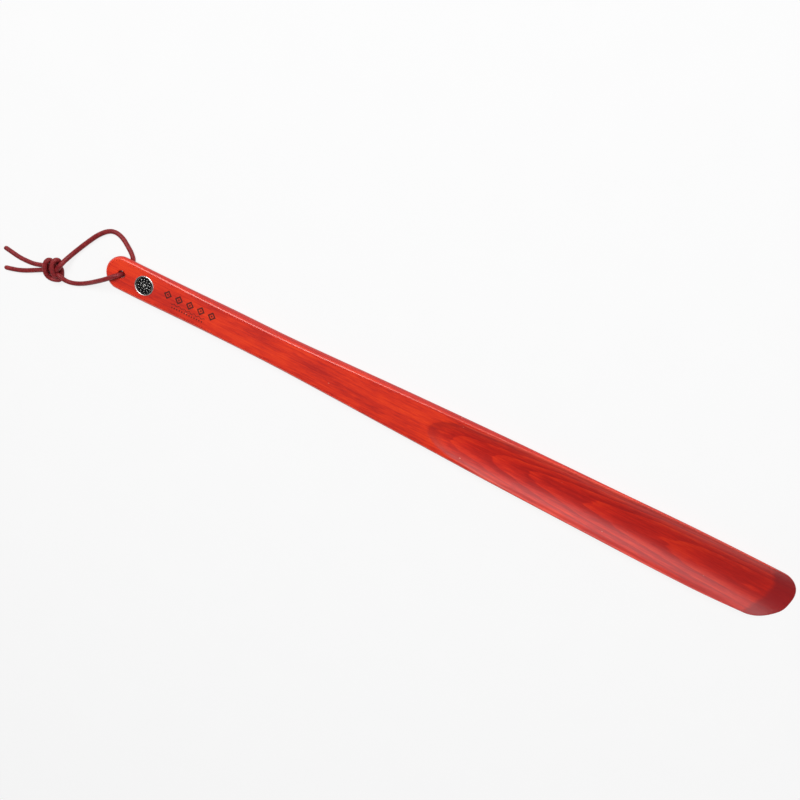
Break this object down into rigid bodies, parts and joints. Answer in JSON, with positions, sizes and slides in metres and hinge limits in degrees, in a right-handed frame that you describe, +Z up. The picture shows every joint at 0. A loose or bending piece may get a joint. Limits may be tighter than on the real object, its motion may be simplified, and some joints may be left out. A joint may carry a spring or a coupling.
{
  "type": "long shoehorn",
  "caption": "Long wooden shoehorn: slim flat handle with inlaid metal medallion and leather hanging loop, widening into a hollowed blade that guides the heel.",
  "frame": {"origin": "under the middle of the wood, on the surface that it lies on", "axes": "+X from the handle's end to the blade's tip, +Z up out of the scoop, +Y to the left seen from the handle"},
  "size_m": [0.6263, 0.0641, 0.014],
  "materials": {
    "stained_wood": "orange-red translucent stain under a semi-gloss lacquer",
    "bright_metal": "polished nickel",
    "aged_metal": "embossed, darkened in the hollows",
    "post_metal": "plain",
    "lace_leather": "brick-red round leather lace, waxed"
  },
  "bodies": {
    "shoehorn": {"shoehorn_body": "stained_wood", "medallion_bezel": "bright_metal", "medallion_disc": "aged_metal", "medallion_post": "post_metal"},
    "hanging_loop": {"lace_front_leg": "lace_leather", "lace_rear_leg": "lace_leather", "lace_knot": "lace_leather", "lace_tail_upper": "lace_leather", "lace_tail_lower": "lace_leather"}
  },
  "joints": [
    {"name": "loop_swing", "type": "hinge", "parent": "shoehorn", "child": "hanging_loop", "pos_m": [-0.263, 0, 0.007], "axis": [0, 0, 1], "range_deg": [-25, 25]}
  ]
}
